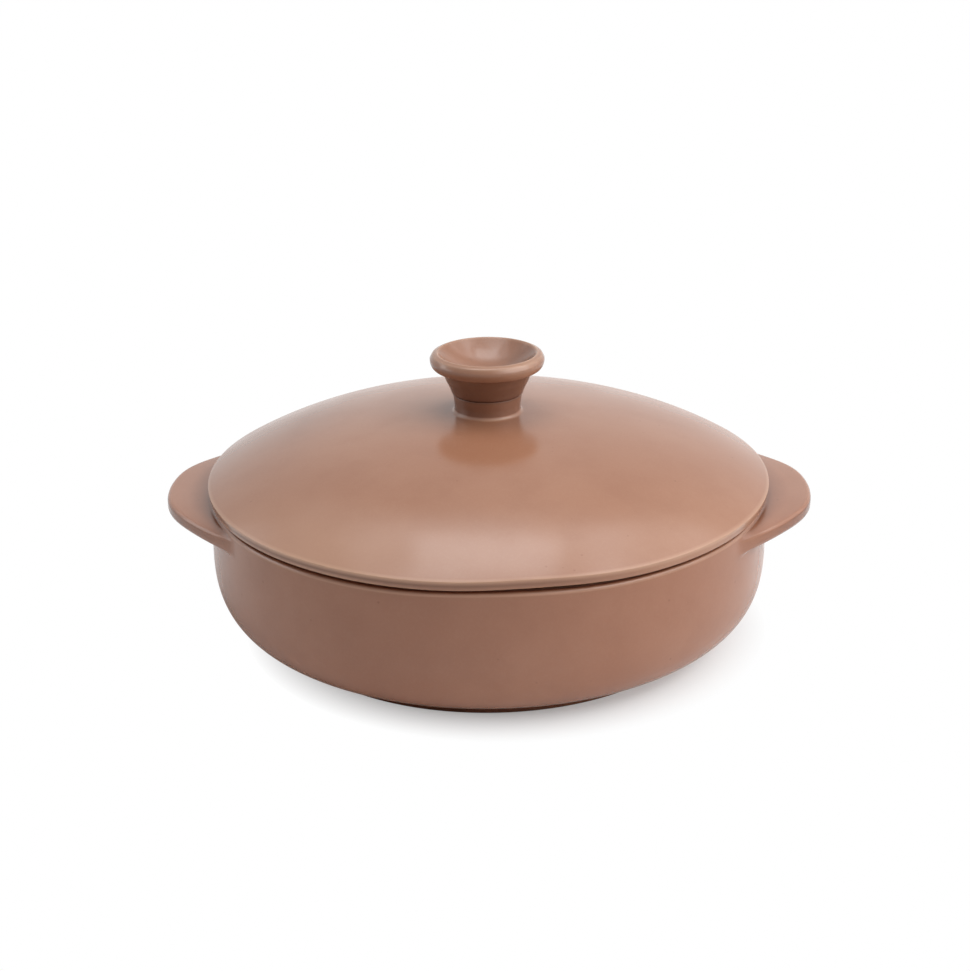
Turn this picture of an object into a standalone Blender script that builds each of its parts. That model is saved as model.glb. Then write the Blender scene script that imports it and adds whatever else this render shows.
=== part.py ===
# A round stoneware casserole dish with two tab handles, a domed lid and a waisted knob.
# Metres, +Z up. The origin is at the centre of the foot ring, on the surface that the dish rests on.
# +X runs along the two handles and -Y is the front. The lid lifts off along +Z.

import math

import bpy

MM = 0.001

# Clearances between pieces
SEAT_GAP = 0.3 * MM          # under the lid's bearing face, and under the knob's shoulder
MOUTH_CLEARANCE = 1.7 * MM   # round the lid's locating flange, on the radius
SOCKET_CLEARANCE = 0.4 * MM  # round the knob's spigot, on the radius
SPIGOT_END_GAP = 0.5 * MM    # under the knob's spigot

# Dish
DISH_HEIGHT = 71.2 * MM
RIM_RADIUS = 130.0 * MM      # outside of the wall just under the rim
WALL = 8.0 * MM
WALL_SWELL = 1.5 * MM        # how far the wall swells past the rim's radius
SWELL_HEIGHT = 47.0 * MM     # where the wall is widest and its lower curve starts
CURVE_REACH = 36.0 * MM      # how far the lower curve runs in from the widest wall
CURVE_POWER = 2.45           # 2 is an ellipse, more is squarer
RIM_OUTER_ROUND = 1.4 * MM
RIM_INNER_ROUND = 1.6 * MM
FLOOR = 7.5 * MM             # thickness of the dish's floor
FOOT_RADIUS = 100.0 * MM
FOOT_HEIGHT = 6.6 * MM       # from the resting surface up to the body's lowest curve
FOOT_WIDTH = 6.0 * MM
FOOT_RECESS = 3.0 * MM       # from the resting surface up to the underside inside the foot ring
FOOT_ROUND = 0.9 * MM

# Tab handles
TAB_REACH = 22.0 * MM        # past the rim's radius
TAB_SPAN = math.radians(34.3)  # half of the angle that a tab takes up round the rim
TAB_FLATNESS = 2.56          # more keeps the tip wider
TAB_FADE = 3.0               # more draws the root in sooner
TAB_DROP = 1.9 * MM          # the tab's top face below the rim
TAB_THICKNESS = 6.9 * MM
TAB_ROOT_DEPTH = 12.2 * MM   # where the tab's underside meets the wall, below the rim

# Lid
LID_OVERHANG = 2.0 * MM      # past the rim's radius
LID_EDGE = 4.2 * MM          # height of the lid's upright edge
LID_EDGE_DRAFT = 0.7 * MM    # how far the edge leans in at its foot
LID_EDGE_ROUND = 0.7 * MM
LID_RELIEF = 1.5 * MM        # the dark line between the lid's edge and the rim
LID_RISE = 30.0 * MM         # from the edge's top to the dome's crown
LID_FULLNESS = 0.32          # 0 is a parabola, more makes the shoulders fuller
LID_THICKNESS = 6.5 * MM
FLANGE_DEPTH = 6.0 * MM      # how far the locating flange drops into the mouth
FLANGE_WIDTH = 5.5 * MM
FLANGE_TAPER = 1.0 * MM
BEARING_WIDTH = 6.0 * MM     # the face that rests on the rim
BOSS_RADIUS = 15.4 * MM
BOSS_FLARE = 0.8 * MM        # how much wider the boss is at the seam
BOSS_HEIGHT = 9.0 * MM       # above the dome where the boss meets it
BOSS_FILLET = 1.6 * MM
SOCKET_DEPTH = 9.0 * MM

# Knob
SPIGOT_RADIUS = 9.0 * MM
SPIGOT_CHAMFER = 0.8 * MM
SEAM_ROUND = 0.5 * MM        # the soft shoulder that draws the seam line
KNOB_HEIGHT = 19.9 * MM      # from the seam to the top of the head
HEAD_RADIUS = 26.7 * MM
HEAD_ROUND = 3.5 * MM
HEAD_SWELL = 1.2 * MM        # how far the head's underside bulges between its edge and the neck
NECK_FLARE = 4.0 * MM        # how much the stem widens up to the crease under the head
NECK_HEIGHT = 7.6 * MM       # from the seam to that crease
HOLLOW_RADIUS = 23.0 * MM    # the dished top
HOLLOW_DEPTH = 12.0 * MM

# Steps round each turned piece
DISH_STEPS = 80
LID_STEPS = 72
KNOB_STEPS = 48

# Places that follow from the sizes above
MOUTH_RADIUS = RIM_RADIUS - WALL
SWELL_RADIUS = RIM_RADIUS + WALL_SWELL
CURVE_CENTRE = SWELL_RADIUS - CURVE_REACH
RIM_SHOULDER = DISH_HEIGHT - RIM_OUTER_ROUND
FLOOR_TOP = FOOT_RECESS + FLOOR
LID_SEAT = DISH_HEIGHT + SEAT_GAP
LID_RADIUS = RIM_RADIUS + LID_OVERHANG
LID_EDGE_FOOT = DISH_HEIGHT + LID_RELIEF
LID_EDGE_TOP = LID_EDGE_FOOT + LID_EDGE
FLANGE_RADIUS = MOUTH_RADIUS - MOUTH_CLEARANCE
SOCKET_RADIUS = SPIGOT_RADIUS + SOCKET_CLEARANCE


def dome_height(radius):
    """Height of the lid's outer dome at a radius."""
    s = radius / LID_RADIUS
    return LID_EDGE_TOP + LID_RISE * (1 - s * s) * (1 + LID_FULLNESS * s * s)


BOSS_FOOT = dome_height(BOSS_RADIUS)
SEAM_HEIGHT = BOSS_FOOT + BOSS_HEIGHT
SEAM_RADIUS = BOSS_RADIUS + BOSS_FLARE
KNOB_TOP = SEAM_HEIGHT + KNOB_HEIGHT


def arc(centre, radius, start, end, count):
    """Points of a round from one angle to another, in degrees, 0 along +radius and 90 up."""
    points = []
    for i in range(count):
        angle = math.radians(start + (end - start) * i / (count - 1))
        points.append((centre[0] + radius * math.cos(angle), centre[1] + radius * math.sin(angle)))
    return points


def spread(first, last, count):
    """Evenly spaced values from first to last, both included."""
    return [first + (last - first) * i / (count - 1) for i in range(count)]


def lower_curve(centre, top, reach, drop, count, stop_radius):
    """The dish's round lower corner: a squared-off ellipse from its widest point to stop_radius."""
    points = []
    inner = max(0.0, min(1.0, (stop_radius - centre) / reach))
    last = math.acos(inner ** (CURVE_POWER / 2))
    for angle in spread(0.0, last, count):
        across = math.cos(angle) ** (2 / CURVE_POWER)
        down = math.sin(angle) ** (2 / CURVE_POWER)
        points.append((centre + reach * across, top - drop * down))
    return points


def wall_radius(height):
    """Outside of the upright wall, which swells gently from the rim down to its widest point."""
    t = (RIM_SHOULDER - height) / (RIM_SHOULDER - SWELL_HEIGHT)
    return RIM_RADIUS + WALL_SWELL * math.sin(math.pi / 2 * t)


TAB_BAND = [RIM_SHOULDER - (RIM_SHOULDER - (DISH_HEIGHT - TAB_ROOT_DEPTH)) * t
            for t in spread(0.0, 1.0, 13)]


def dish_profile():
    """Half section of the dish, from the middle of its floor over the rim to its underside."""
    inside = [(0.0, FLOOR_TOP)]
    inside += reversed(lower_curve(CURVE_CENTRE, SWELL_HEIGHT, MOUTH_RADIUS - CURVE_CENTRE,
                                   SWELL_HEIGHT - FLOOR_TOP, 8, CURVE_CENTRE))
    rim = arc((MOUTH_RADIUS + RIM_INNER_ROUND, DISH_HEIGHT - RIM_INNER_ROUND), RIM_INNER_ROUND,
              180, 90, 3)
    rim += arc((RIM_RADIUS - RIM_OUTER_ROUND, RIM_SHOULDER), RIM_OUTER_ROUND, 90, 0, 4)[:-1]
    wall = [(wall_radius(height), height) for height in TAB_BAND]
    wall.append((wall_radius((TAB_BAND[-1] + SWELL_HEIGHT) / 2), (TAB_BAND[-1] + SWELL_HEIGHT) / 2))
    curve = lower_curve(CURVE_CENTRE, SWELL_HEIGHT, CURVE_REACH, SWELL_HEIGHT - FOOT_HEIGHT, 9,
                        max(FOOT_RADIUS, CURVE_CENTRE))
    inner_foot = FOOT_RADIUS - FOOT_WIDTH
    foot = arc((FOOT_RADIUS - FOOT_ROUND, FOOT_ROUND), FOOT_ROUND, 0, -90, 3)
    foot += arc((inner_foot + FOOT_ROUND, FOOT_ROUND), FOOT_ROUND, -90, -180, 3)
    underside = [(inner_foot - (FOOT_RECESS - FOOT_ROUND), FOOT_RECESS), (0.0, FOOT_RECESS)]
    return inside + rim + wall + curve + foot + underside


def tab_section(t):
    """Radius and height of a full tab's section for t from 0 at its top root to 1 at its lower root."""
    top = DISH_HEIGHT - TAB_DROP
    tip = RIM_RADIUS + TAB_REACH
    half = TAB_THICKNESS / 2
    root = wall_radius(DISH_HEIGHT - TAB_ROOT_DEPTH)
    if t < 0.25:
        out = t / 0.25
        return RIM_RADIUS + (TAB_REACH - half) * out, RIM_SHOULDER + (top - RIM_SHOULDER) * min(1.0, 3 * out)
    if t < 0.75:
        turn = math.radians(90 - 180 * (t - 0.25) / 0.5)
        return tip - half + half * math.cos(turn), top - half + half * math.sin(turn)
    back = (t - 0.75) / 0.25
    low = top - TAB_THICKNESS
    return tip - half + (root - tip + half) * back, low + (DISH_HEIGHT - TAB_ROOT_DEPTH - low) * back ** 3


def tab_share(angle):
    """1 at the middle of a tab, easing to 0 where it has run out into the rim."""
    from_axis = abs(math.remainder(angle, math.pi))
    if from_axis >= TAB_SPAN:
        return 0.0
    return (1 - (from_axis / TAB_SPAN) ** TAB_FLATNESS) ** TAB_FADE


def pull_out_tabs(mesh):
    """Pull the band under the rim out into the two tab handles."""
    band_top = TAB_BAND[0]
    band_foot = TAB_BAND[-1]
    for vertex in mesh.vertices:
        x, y, height = vertex.co
        radius = math.hypot(x, y)
        on_band = band_foot + 0.01 * MM < height < band_top - 0.01 * MM
        share = tab_share(math.atan2(y, x)) if on_band and radius > RIM_RADIUS - WALL / 2 else 0.0
        if share > 0.0:
            full_radius, full_height = tab_section((band_top - height) / (band_top - band_foot))
            new_radius = radius + (full_radius - radius) * share
            vertex.co.x = x * new_radius / radius
            vertex.co.y = y * new_radius / radius
            vertex.co.z = height + (full_height - height) * share


def lid_profile():
    """Half section of the lid, from the socket's floor over the dome and edge to its hollow underside."""
    socket_floor = SEAM_HEIGHT - SOCKET_DEPTH
    socket = [(0.0, socket_floor), (SOCKET_RADIUS, socket_floor), (SOCKET_RADIUS, SEAM_HEIGHT)]
    boss = [(SEAM_RADIUS - SEAM_ROUND, SEAM_HEIGHT), (SEAM_RADIUS, SEAM_HEIGHT - SEAM_ROUND)]
    boss += [(BOSS_RADIUS + BOSS_FLARE * 0.3, BOSS_FOOT + BOSS_HEIGHT * 0.55)]
    boss += [(BOSS_RADIUS, BOSS_FOOT + BOSS_FILLET), (BOSS_RADIUS + BOSS_FILLET * 0.3, BOSS_FOOT + BOSS_FILLET * 0.3)]
    edge_start = LID_RADIUS - LID_EDGE_ROUND * 1.3
    dome = [(radius, dome_height(radius)) for radius in spread(BOSS_RADIUS + BOSS_FILLET, edge_start, 9)]
    edge = [(LID_RADIUS - LID_EDGE_ROUND * 0.3, LID_EDGE_TOP), (LID_RADIUS, LID_EDGE_TOP - LID_EDGE_ROUND)]
    edge += [(LID_RADIUS - LID_EDGE_DRAFT, LID_EDGE_FOOT + LID_EDGE_ROUND)]
    edge += [(LID_RADIUS - LID_EDGE_DRAFT - LID_EDGE_ROUND, LID_EDGE_FOOT)]
    flange_foot = LID_SEAT - FLANGE_DEPTH
    bearing = [(FLANGE_RADIUS + BEARING_WIDTH + LID_RELIEF, LID_EDGE_FOOT)]
    bearing += [(FLANGE_RADIUS + BEARING_WIDTH, LID_SEAT), (FLANGE_RADIUS, LID_SEAT)]
    flange = [(FLANGE_RADIUS - FLANGE_TAPER, flange_foot), (FLANGE_RADIUS - FLANGE_WIDTH, flange_foot)]
    hollow_edge = FLANGE_RADIUS - FLANGE_WIDTH - FLANGE_TAPER
    under = [(radius, dome_height(radius) - LID_THICKNESS) for radius in spread(hollow_edge, 0.0, 8)]
    return socket + boss + dome + edge + bearing + flange + under


def knob_profile():
    """Half section of the knob, from the middle of its dished top over the head to its spigot."""
    hollow_floor = KNOB_TOP - HOLLOW_DEPTH
    hollow = [(radius, hollow_floor + HOLLOW_DEPTH * (radius / HOLLOW_RADIUS) ** 2.4)
              for radius in spread(0.0, HOLLOW_RADIUS - 0.5 * MM, 6)]
    head = arc((HEAD_RADIUS - HEAD_ROUND, KNOB_TOP - HEAD_ROUND), HEAD_ROUND, 100, 0, 5)
    crease = (SEAM_RADIUS + NECK_FLARE, SEAM_HEIGHT + NECK_HEIGHT)
    across = crease[0] - head[-1][0]
    down = crease[1] - head[-1][1]
    length = math.hypot(across, down)
    under = []
    for t in (0.3, 0.6, 0.85):
        swell = HEAD_SWELL * 4 * t * (1 - t)
        under.append((head[-1][0] + across * t - down / length * swell,
                      head[-1][1] + down * t + across / length * swell))
    neck = [(SEAM_RADIUS + NECK_FLARE * t ** 1.8, SEAM_HEIGHT + SEAM_ROUND + (NECK_HEIGHT - SEAM_ROUND) * t)
            for t in (1.0, 0.7, 0.35, 0.0)]
    shoulder = [(SEAM_RADIUS - SEAM_ROUND, SEAM_HEIGHT + SEAT_GAP)]
    spigot_end = SEAM_HEIGHT - SOCKET_DEPTH + SPIGOT_END_GAP
    spigot = [(SPIGOT_RADIUS, SEAM_HEIGHT + SEAT_GAP), (SPIGOT_RADIUS, spigot_end + SPIGOT_CHAMFER)]
    spigot += [(SPIGOT_RADIUS - SPIGOT_CHAMFER, spigot_end), (0.0, spigot_end)]
    return hollow + head + under + neck + shoulder + spigot


def turned_mesh(name, profile, steps):
    """A closed mesh turned about the Z axis from a half section that starts and ends on the axis."""
    flat = bpy.data.meshes.new(name + "_section")
    flat.from_pydata([(r, 0.0, z) for r, z in profile], [(i, i + 1) for i in range(len(profile) - 1)], [])
    section = bpy.data.objects.new(name + "_section", flat)
    bpy.context.scene.collection.objects.link(section)
    screw = section.modifiers.new("Turn", "SCREW")
    screw.axis = "Z"
    screw.angle = 2 * math.pi
    screw.steps = steps
    screw.render_steps = steps
    screw.use_merge_vertices = True
    screw.merge_threshold = 0.00001
    bpy.context.view_layer.update()
    evaluated = section.evaluated_get(bpy.context.evaluated_depsgraph_get())
    mesh = bpy.data.meshes.new_from_object(evaluated)
    mesh.name = name
    bpy.data.objects.remove(section, do_unlink=True)
    bpy.data.meshes.remove(flat)
    return mesh


def glaze(name, colour, roughness):
    """A satin glaze as a plain Principled material."""
    material = bpy.data.materials.new(name)
    material.use_nodes = True
    shader = material.node_tree.nodes["Principled BSDF"]
    shader.inputs["Base Color"].default_value = (*colour, 1.0)
    shader.inputs["Roughness"].default_value = roughness
    shader.inputs["Metallic"].default_value = 0.0
    return material


def add_piece(name, mesh, material, collection, parent):
    """Put a finished mesh in the scene as one named piece."""
    mesh.materials.clear()
    mesh.materials.append(material)
    mesh.shade_smooth()
    mesh.set_sharp_from_angle(angle=math.radians(35))
    piece = bpy.data.objects.new(name, mesh)
    collection.objects.link(piece)
    piece.parent = parent
    return piece


def build():
    for item in list(bpy.data.objects):
        bpy.data.objects.remove(item, do_unlink=True)
    collection = bpy.data.collections.new("stoneware_casserole_dish")
    bpy.context.scene.collection.children.link(collection)
    lift_axis = bpy.data.objects.new("lid_lift_axis", None)
    collection.objects.link(lift_axis)

    dish_mesh = turned_mesh("dish", dish_profile(), DISH_STEPS)
    pull_out_tabs(dish_mesh)
    add_piece("dish", dish_mesh, glaze("dish_glaze", (0.37, 0.21, 0.145), 0.4), collection, None)
    lid_mesh = turned_mesh("lid", lid_profile(), LID_STEPS)
    add_piece("lid", lid_mesh, glaze("lid_glaze", (0.40, 0.23, 0.16), 0.4), collection, lift_axis)
    knob_mesh = turned_mesh("knob", knob_profile(), KNOB_STEPS)
    add_piece("knob", knob_mesh, glaze("knob_glaze", (0.34, 0.20, 0.14), 0.4), collection, lift_axis)


build()
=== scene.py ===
import math

import bpy
import numpy as np
from mathutils import Matrix, Vector


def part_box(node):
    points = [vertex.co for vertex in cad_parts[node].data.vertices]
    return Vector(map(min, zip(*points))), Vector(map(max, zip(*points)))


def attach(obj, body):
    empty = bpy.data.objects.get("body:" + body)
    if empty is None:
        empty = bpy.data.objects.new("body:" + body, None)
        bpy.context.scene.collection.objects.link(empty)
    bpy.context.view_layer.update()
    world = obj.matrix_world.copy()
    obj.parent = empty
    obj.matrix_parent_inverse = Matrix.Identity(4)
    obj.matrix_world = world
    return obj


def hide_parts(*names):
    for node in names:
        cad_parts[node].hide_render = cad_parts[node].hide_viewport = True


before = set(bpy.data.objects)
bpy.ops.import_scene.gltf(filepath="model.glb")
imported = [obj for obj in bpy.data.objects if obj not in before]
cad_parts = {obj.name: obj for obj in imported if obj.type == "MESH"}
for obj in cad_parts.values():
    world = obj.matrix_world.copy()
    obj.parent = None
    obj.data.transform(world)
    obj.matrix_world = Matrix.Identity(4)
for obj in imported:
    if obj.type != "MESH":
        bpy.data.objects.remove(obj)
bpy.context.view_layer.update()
print("frame loaded:", len(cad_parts), "nodes")

# the highest corners of the solids' boxes, and the knob's lowest one, set the sizes further down
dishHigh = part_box("dish")[1]
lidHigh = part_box("lid")[1]
knobLow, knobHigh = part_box("knob")
mm = 0.001


# Small tools for half sections, which are arrays of (radius, height) rows

def straight(start, end, count):
    # start + (end - start) * t for even t, the last point left out
    t = np.linspace(0.0, 1.0, count, endpoint=False)[:, None]
    return np.asarray(start) + (np.asarray(end) - np.asarray(start)) * t


def arcPath(centre, reach, start, end, count):
    # centre + (reach * cos a, reach * sin a) for angles a in degrees, 0 outwards and 90 up
    turn = np.radians(np.linspace(start, end, count))
    return np.stack([centre[0] + reach * np.cos(turn), centre[1] + reach * np.sin(turn)], axis=1)


def softCorner(before, corner, after, radius, count):
    # the arc of a radius that touches both sides of a corner: centre on the bisector, at
    # radius / sin(half angle) from the corner, swept from one touching point to the other
    before, corner, after = (np.asarray(p, float) for p in (before, corner, after))
    a = (before - corner) / np.linalg.norm(before - corner)
    b = (after - corner) / np.linalg.norm(after - corner)
    half = math.acos(float(np.clip(a @ b, -1.0, 1.0))) / 2
    centre = corner + (a + b) / np.linalg.norm(a + b) * radius / math.sin(half)
    first = corner + a * radius / math.tan(half) - centre
    last = corner + b * radius / math.tan(half) - centre
    start = math.atan2(first[1], first[0])
    sweep = math.remainder(math.atan2(last[1], last[0]) - start, 2 * math.pi)
    turn = start + sweep * np.linspace(0.0, 1.0, count)
    return centre + radius * np.stack([np.cos(turn), np.sin(turn)], axis=1)


def roundedPath(corners, longest):
    # straight runs joined by arcs: each inner corner is (radius, height, round, arc points), and the runs
    # between are cut into pieces no longer than the given length
    path = [np.asarray([corners[0][:2]], float)]
    for i in range(1, len(corners) - 1):
        r, z, roundness, count = corners[i]
        path.append(softCorner(corners[i - 1][:2], (r, z), corners[i + 1][:2], roundness, count))
    path.append(np.asarray([corners[-1][:2]], float))
    filled = []
    for here, there in zip(path[:-1], path[1:]):
        filled.append(here[:-1])
        run = float(np.linalg.norm(there[0] - here[-1]))
        filled.append(straight(here[-1], there[0], max(1, math.ceil(run / longest))))
    filled.append(path[-1][-1:])
    return np.concatenate(filled)


def squareCurve(centre, top, reach, drop, power, stopRadius, count):
    # a squared-off ellipse from its widest point down: r = centre + reach * cos(a)^(2/power),
    # z = top - drop * sin(a)^(2/power), up to the angle where r is stopRadius
    inner = min(1.0, max(0.0, (stopRadius - centre) / reach))
    turn = np.linspace(0.0, math.acos(inner ** (power / 2)), count)
    across = np.cos(turn).clip(0.0) ** (2 / power)
    down = np.sin(turn).clip(0.0) ** (2 / power)
    return np.stack([centre + reach * across, top - drop * down], axis=1)


def evenSteps(path, count):
    # the same path with evenly spaced points: length along it is read at even fractions
    length = np.concatenate([[0.0], np.cumsum(np.linalg.norm(np.diff(path, axis=0), axis=1))])
    at = np.linspace(0.0, length[-1], count)
    return np.stack([np.interp(at, length, path[:, 0]), np.interp(at, length, path[:, 1])], axis=1)


def bump(value, centre, width):
    # a smooth hill: exp(-((value - centre) / width)^2)
    return np.exp(-((value - centre) / width) ** 2)


def hills(turn, places):
    # smooth hills round the piece: the sum of amount * exp(-((turn - place) / width)^2), place in degrees
    return sum(amount * bump(turn, math.radians(place), width) for place, width, amount in places)


def ramp(value, start, end):
    # an even slope, 0 at the start and 1 at the end: (value - start) / (end - start), kept from 0 to 1
    return np.clip((value - start) / (end - start), 0.0, 1.0)


def anglesRound(steps):
    # even angles once round Z: 2 pi * j / steps
    return np.linspace(0.0, 2 * math.pi, steps, endpoint=False)


def turnedMesh(name, section, steps, marks):
    # a half section carried round Z: point(i, j) = (r cos a, r sin a, z) with a = 2 pi j / steps, where
    # r and z are section[i, j]. The first and last rows lie on the axis and close it with one vertex each.
    rows = section.shape[0] - 2
    turn = anglesRound(steps)
    radius = section[1:-1, :, 0]
    grid = np.stack([radius * np.cos(turn), radius * np.sin(turn), section[1:-1, :, 1]], axis=2)
    poles = np.array([[0.0, 0.0, section[0, :, 1].mean()], [0.0, 0.0, section[-1, :, 1].mean()]])
    points = np.concatenate([grid.reshape(-1, 3), poles])
    i, j = np.meshgrid(np.arange(rows - 1), np.arange(steps), indexing="ij")
    beside = (j + 1) % steps
    corners = (i * steps + j, (i + 1) * steps + j, (i + 1) * steps + beside, i * steps + beside)
    quads = np.stack(corners, axis=2)
    k = np.arange(steps)
    after = (k + 1) % steps
    topFan = np.stack([np.full(steps, rows * steps), k, after], axis=1)
    low = (rows - 1) * steps
    lowFan = np.stack([np.full(steps, rows * steps + 1), low + after, low + k], axis=1)
    mesh = bpy.data.meshes.new(name)
    mesh.from_pydata(points.tolist(), [], quads.reshape(-1, 4).tolist() + topFan.tolist() + lowFan.tolist())
    for mark, value in marks.items():
        layer = mesh.attributes.new(mark, "FLOAT", "POINT")
        value = value if value.ndim == 2 else np.repeat(value[:, None], steps, axis=1)
        flat = np.concatenate([value[1:-1].ravel(), value[0, :1], value[-1, :1]])
        layer.data.foreach_set("value", flat.astype(np.float32))
    mesh.update()
    mesh.shade_smooth()
    return mesh


# each wave: how many times round the piece, its share, its shift and its drift with height
unevenWaves = (
    dict(count=2, share=1.0, shift=1.0, drift=9),
    dict(count=3, share=0.6, shift=2.1, drift=-14),
    dict(count=7, share=0.35, shift=3.7, drift=31),
)


def unevenness(turn, height, amount, seed):
    # a hand-finished wobble: amount * the sum of share * sin(count * turn + shift * seed + drift * height)
    waves = (wave["share"] * np.sin(wave["count"] * turn + wave["shift"] * seed + wave["drift"] * height)
             for wave in unevenWaves)
    return amount * sum(waves)


def highStretch(turn, high, width, rise):
    # a rim that rises over one stretch: rise * exp(-(angle from its highest place / width)^2)
    away = np.remainder(turn - high + math.pi, 2 * math.pi) - math.pi
    return rise * bump(away, 0.0, width)


def addPiece(name, mesh, material, body, nodeName):
    # the mesh as an object at the origin, which rides on its body and stands for one node of the solids
    mesh.materials.append(material)
    piece = bpy.data.objects.new(name, mesh)
    bpy.context.scene.collection.objects.link(piece)
    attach(piece, body)
    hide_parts(nodeName)
    print(name, "made:", len(mesh.polygons), "faces")


# Glaze and clay

glazeLook = dict(
    deep=(0.268, 0.119, 0.068),
    middle=(0.314, 0.145, 0.085),
    pale=(0.342, 0.167, 0.102),
    thinAndLit=(0.500, 0.300, 0.200),
    speckAndShade=(0.130, 0.052, 0.030),
    clay=(0.520, 0.390, 0.290),
    clayShade=0.82,           # the clay's darker patches, as a share of its colour
    clayRoughness=0.85,
    ior=1.48,
    patches=dict(scale=14.0, detail=3.0),
    clouds=dict(scale=48.0, detail=4.0, roughness=0.6),
    grain=dict(scale=900.0, detail=2.0),
    peel=dict(scale=300.0, detail=2.0),
    speckScale=260.0,
    # a span runs from its first value to its second, and gives 0 to 1, or its third value to its fourth
    patchSpan=(0.30, 0.70),
    cloudSpan=(0.40, 0.75, 0.0, 0.30),
    grainSpan=(0.40, 0.80, 0.0, 0.05),
    speckSpan=(0.08, 0.20, 0.30, 0.0),
    speckChoice=(0.84, 0.88),
    claySpan=(0.3, 0.7),
    satinSpan=(0.25, 0.75, 0.18, 0.23),
    peelStrength=0.12,
    peelDepth=0.00025,
    toothStrength=0.05,
    toothDepth=0.00006,
)


def glazeMaterial(name, look, shade):
    # satin glaze on clay. Its colour goes from middle to pale in patches and deeper in clouds, with a fine
    # grain and specks. The mesh's marks then mix it with thin glaze, whose pale colour also paints
    # highlights and light, with painted shade in the speck colour, and with bare clay. A faint orange peel
    # lifts the surface, and a finer tooth lies on it. The shade multiplies the glaze's colours
    material = bpy.data.materials.new(name)
    material.use_nodes = True
    nodes, links = material.node_tree.nodes, material.node_tree.links
    shader = nodes["Principled BSDF"]
    place = nodes.new("ShaderNodeTexCoord").outputs["Object"]

    def noise(scale, detail, roughness=0.5):
        texture = nodes.new("ShaderNodeTexNoise")
        texture.inputs["Scale"].default_value = scale
        texture.inputs["Detail"].default_value = detail
        texture.inputs["Roughness"].default_value = roughness
        links.new(place, texture.inputs["Vector"])
        return texture.outputs["Fac"]

    def span(value, low, high, start=0.0, end=1.0):
        ranger = nodes.new("ShaderNodeMapRange")
        ranger.interpolation_type = "SMOOTHSTEP"
        ranger.inputs["From Min"].default_value = low
        ranger.inputs["From Max"].default_value = high
        ranger.inputs["To Min"].default_value = start
        ranger.inputs["To Max"].default_value = end
        links.new(value, ranger.inputs["Value"])
        return ranger.outputs["Result"]

    def blend(amount, first, second):
        mixer = nodes.new("ShaderNodeMix")
        mixer.data_type = "RGBA"
        links.new(amount, mixer.inputs["Factor"])
        for socket, colour in ((mixer.inputs["A"], first), (mixer.inputs["B"], second)):
            if isinstance(colour, tuple):
                socket.default_value = (*colour, 1.0)
            else:
                links.new(colour, socket)
        return mixer.outputs["Result"]

    def mark(markName):
        reader = nodes.new("ShaderNodeAttribute")
        reader.attribute_name = markName
        return reader.outputs["Fac"]

    def relief(height, strength, depth):
        lifted = nodes.new("ShaderNodeBump")
        lifted.inputs["Strength"].default_value = strength
        lifted.inputs["Distance"].default_value = depth
        links.new(height, lifted.inputs["Height"])
        return lifted

    deep, middle, pale, thinAndLit, speckAndShade = (tuple(np.multiply(look[k], shade).tolist())
                                       for k in ("deep", "middle", "pale", "thinAndLit", "speckAndShade"))
    patches = noise(**look["patches"])
    clouds = noise(**look["clouds"])
    grain = noise(**look["grain"])
    colour = blend(span(patches, *look["patchSpan"]), middle, pale)
    colour = blend(span(clouds, *look["cloudSpan"]), colour, deep)
    colour = blend(span(grain, *look["grainSpan"]), colour, thinAndLit)
    specks = nodes.new("ShaderNodeTexVoronoi")
    specks.inputs["Scale"].default_value = look["speckScale"]
    links.new(place, specks.inputs["Vector"])
    chosen = nodes.new("ShaderNodeMath")
    chosen.operation = "MULTIPLY"
    links.new(span(specks.outputs["Distance"], *look["speckSpan"]), chosen.inputs[0])
    links.new(span(specks.outputs["Color"], *look["speckChoice"]), chosen.inputs[1])
    colour = blend(chosen.outputs["Value"], colour, speckAndShade)
    # the pale colour of thin glaze, which the marks also use for painted highlights and painted light; then
    # the speck colour as painted shade
    colour = blend(mark("thinGlazeAndLight"), colour, thinAndLit)
    colour = blend(mark("paintedShade"), colour, speckAndShade)
    bare = mark("bareClay")
    darkClay = tuple(part * look["clayShade"] for part in look["clay"])
    clayColour = blend(span(clouds, *look["claySpan"]), look["clay"], darkClay)
    colour = blend(bare, colour, clayColour)
    links.new(colour, shader.inputs["Base Color"])

    satin = span(clouds, *look["satinSpan"])
    dry = nodes.new("ShaderNodeMix")
    dry.inputs["B"].default_value = look["clayRoughness"]
    links.new(bare, dry.inputs["Factor"])
    links.new(satin, dry.inputs["A"])
    links.new(dry.outputs["Result"], shader.inputs["Roughness"])
    shader.inputs["IOR"].default_value = look["ior"]

    peel = relief(noise(**look["peel"]), look["peelStrength"], look["peelDepth"])
    tooth = relief(grain, look["toothStrength"], look["toothDepth"])
    links.new(peel.outputs["Normal"], tooth.inputs["Normal"])
    links.new(tooth.outputs["Normal"], shader.inputs["Normal"])
    return material


# The dish: one turned body whose band under the rim is drawn out into two tab handles

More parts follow.
